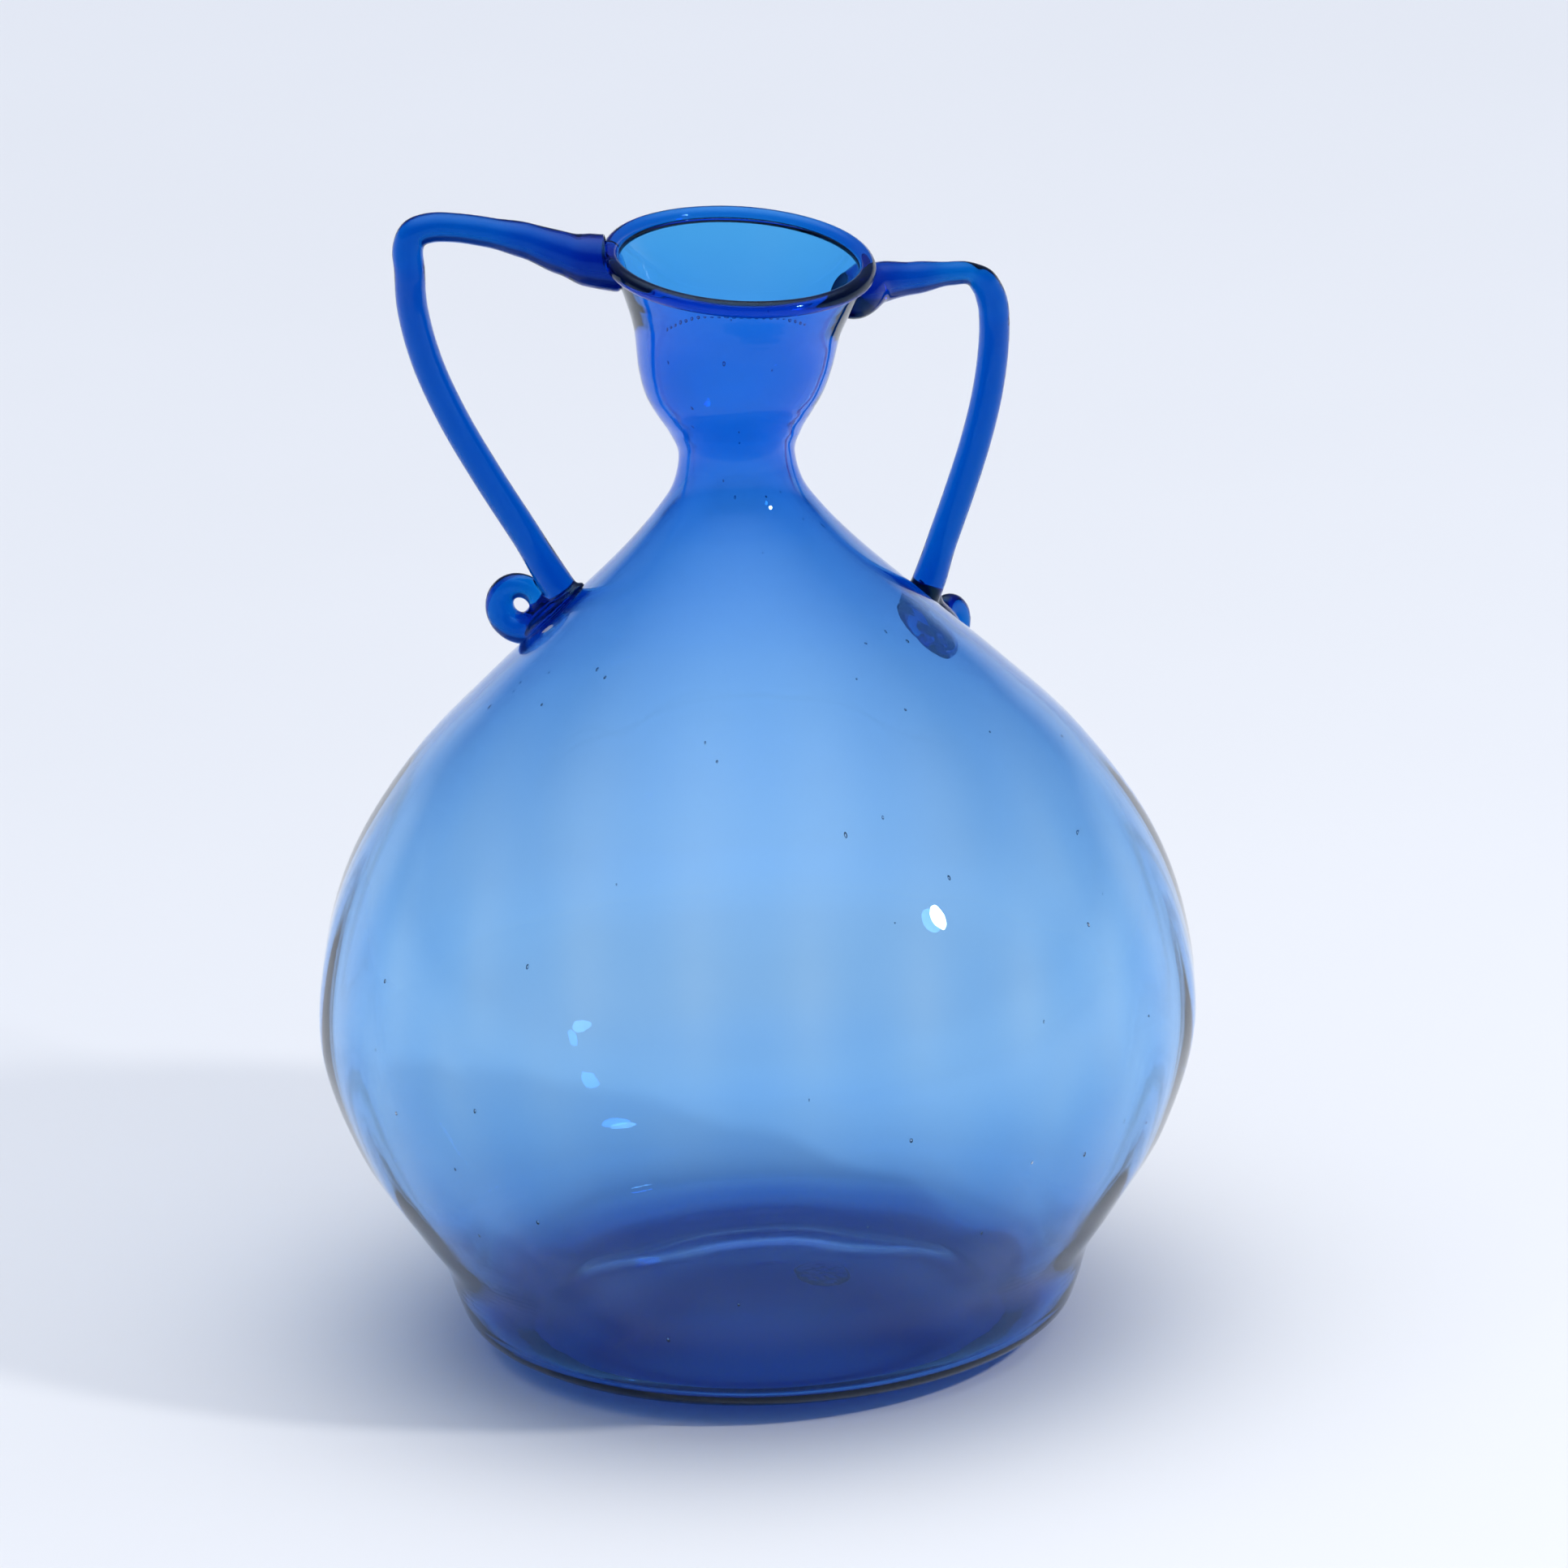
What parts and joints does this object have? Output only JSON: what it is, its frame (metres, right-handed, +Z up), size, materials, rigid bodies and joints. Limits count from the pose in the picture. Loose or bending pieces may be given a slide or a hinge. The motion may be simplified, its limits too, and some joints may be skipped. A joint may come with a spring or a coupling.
{
  "type": "amphora",
  "caption": "Blown glass amphora with a round bulb, narrow waist, flared cup mouth, and drawn rod handles that end in scrolls on the shoulder.",
  "frame": {"origin": "middle of the ring the vessel rests on, at the resting plane", "axes": "+Z up along the vessel's axis; the left handle leaves the mouth towards -X, the right handle towards +X and back (+Y); the front is -Y"},
  "size_m": [0.2446, 0.2446, 0.3268],
  "materials": {
    "pale_blue_glass": "clear blue glass, fire-polished, with seeds and faint upright ribs",
    "bead_blue_glass": "clear blue glass, fire-polished bead",
    "deep_blue_glass": "the same blue glass in solid rod, so it reads deep blue"
  },
  "bodies": {
    "root": {"vessel_body": "pale_blue_glass", "mouth_bead": "bead_blue_glass", "left_handle": "deep_blue_glass", "right_handle": "deep_blue_glass", "punty_scar": "pale_blue_glass"}
  },
  "joints": []
}
